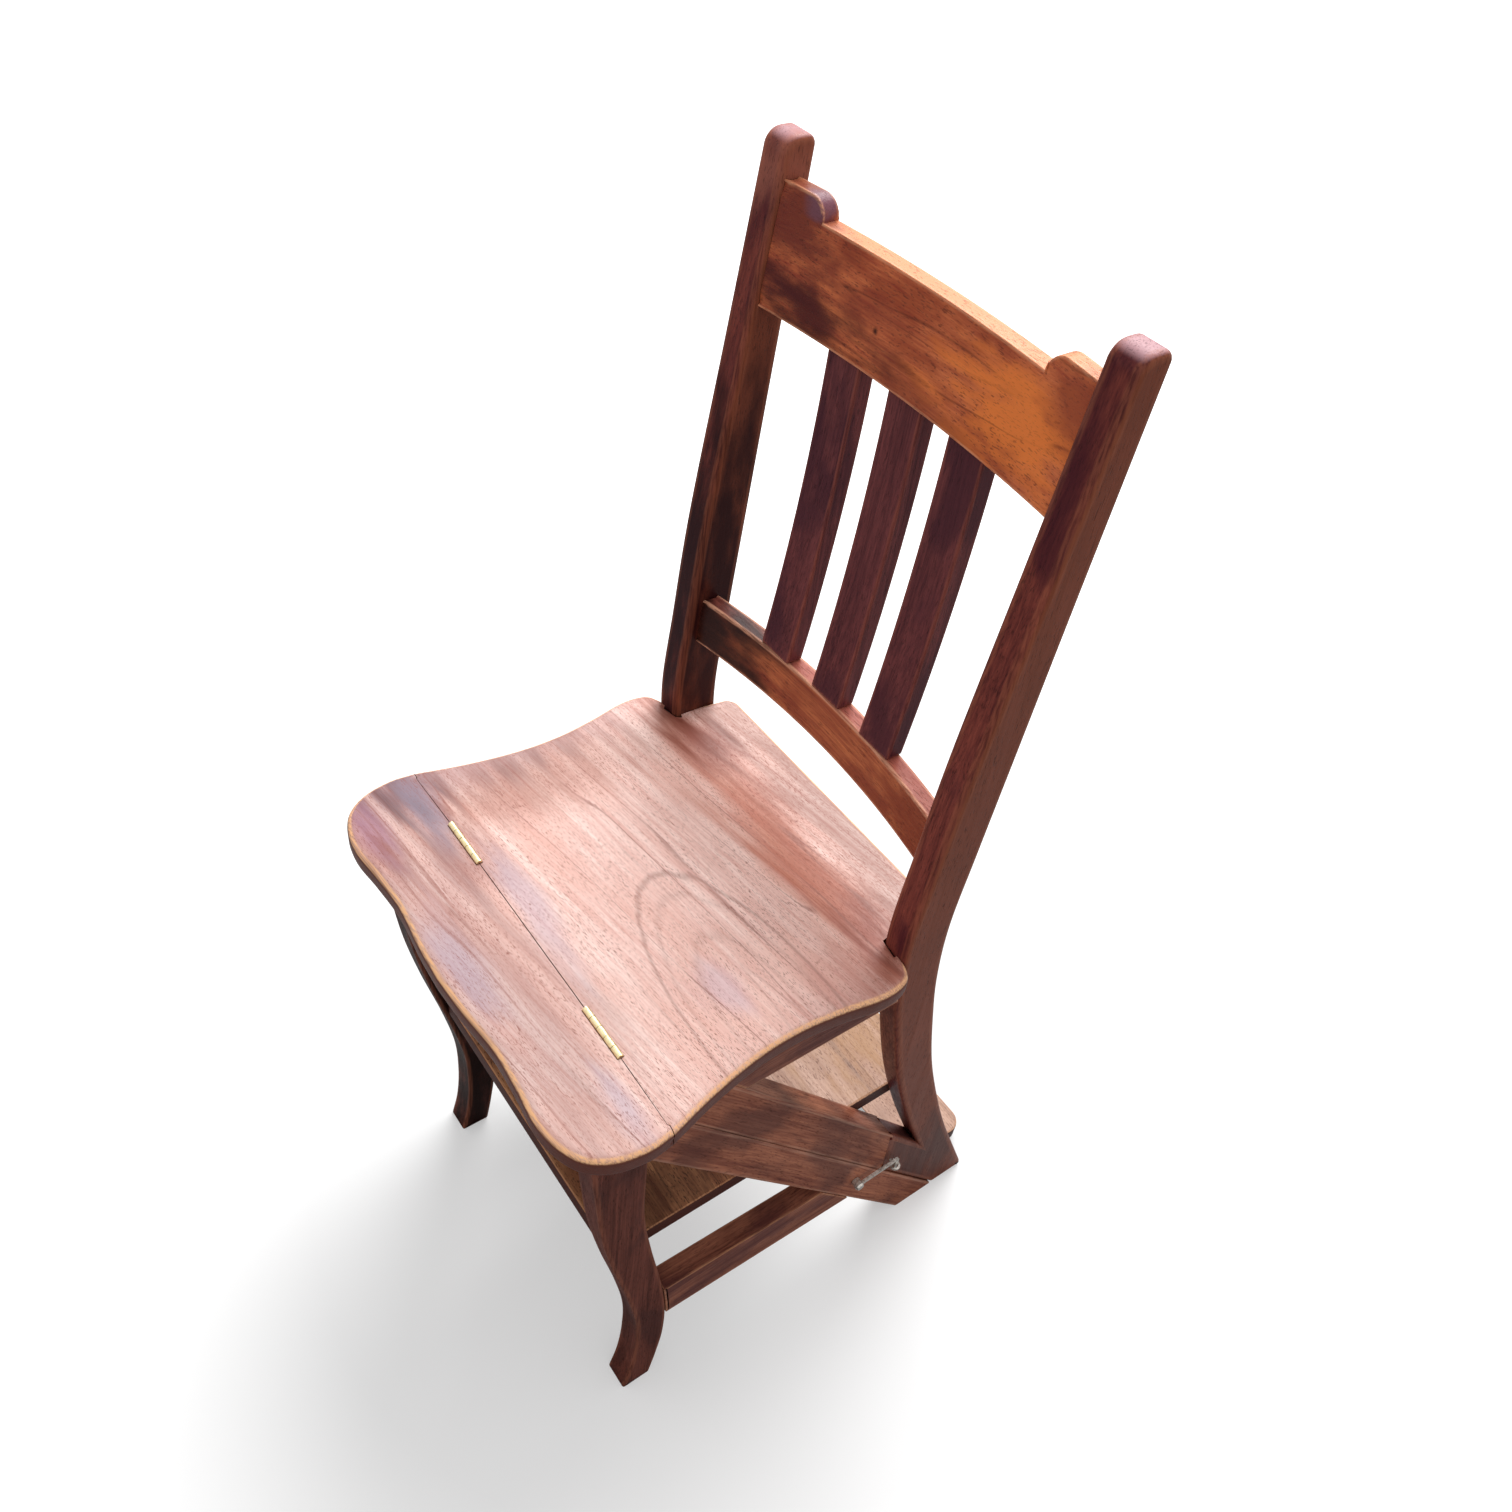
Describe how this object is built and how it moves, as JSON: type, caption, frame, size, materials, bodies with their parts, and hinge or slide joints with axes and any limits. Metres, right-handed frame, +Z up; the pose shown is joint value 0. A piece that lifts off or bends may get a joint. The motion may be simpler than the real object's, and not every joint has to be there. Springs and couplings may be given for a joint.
{
  "type": "library step chair",
  "caption": "Wooden side chair whose back half turns over on brass hinges to make a set of library steps, with a saddle-edged seat, slatted back and treads between slanting side rails.",
  "frame": {"origin": "on the floor, at the middle of the chair's width and length", "axes": "+Z up; the sitter faces -Y and the sitter's left is +X"},
  "size_m": [0.363, 0.479, 0.9],
  "materials": {
    "frame_wood": "worn satin varnish, dark mahogany",
    "seat_wood": "satin varnish, pink-brown mahogany",
    "crest_wood": "glossy varnish, chestnut",
    "tread_wood": "worn varnish, golden brown",
    "brass": "bright, lightly worn",
    "steel": "dull dark steel"
  },
  "bodies": {
    "front_frame": {"front_leg_left": "frame_wood", "front_leg_right": "frame_wood", "hinge_leaf_front_left": "brass", "hinge_leaf_front_right": "brass", "hinge_pin_left": "brass", "hinge_pin_right": "brass", "hinge_screw_front_1": "brass", "hinge_screw_front_2": "brass", "hinge_screw_front_3": "brass", "hinge_screw_front_4": "brass", "latch_pivot_screw": "steel", "lower_side_rail_left": "frame_wood", "lower_side_rail_right": "frame_wood", "lower_tread": "tread_wood", "seat_front_strip": "seat_wood", "side_stretcher_left": "frame_wood", "side_stretcher_right": "frame_wood"},
    "rear_frame": {"back_slat_left": "frame_wood", "back_slat_middle": "frame_wood", "back_slat_right": "frame_wood", "crest_rail": "crest_wood", "hinge_leaf_rear_left": "brass", "hinge_leaf_rear_right": "brass", "hinge_screw_rear_1": "brass", "hinge_screw_rear_2": "brass", "hinge_screw_rear_3": "brass", "hinge_screw_rear_4": "brass", "latch_eye": "steel", "lower_back_rail": "frame_wood", "middle_tread": "tread_wood", "seat_panel": "seat_wood", "seat_screw_1": "steel", "seat_screw_2": "steel", "seat_screw_3": "steel", "seat_screw_4": "steel", "seat_side_rail_left": "frame_wood", "seat_side_rail_right": "frame_wood", "stile_left": "frame_wood", "stile_right": "frame_wood", "top_tread": "tread_wood", "upper_side_rail_left": "frame_wood", "upper_side_rail_right": "frame_wood"},
    "hook": {"latch_hook": "steel"}
  },
  "joints": [
    {"name": "rear_frame_turn", "type": "hinge", "parent": "front_frame", "child": "rear_frame", "pos_m": [0, -0.1695, 0.4504], "axis": [1, 0, 0], "range_deg": [0, 180]},
    {"name": "hook_lift", "type": "hinge", "parent": "front_frame", "child": "hook", "pos_m": [0.157, 0.058, 0.12681], "axis": [1, 0, 0], "range_deg": [0, 100]}
  ]
}
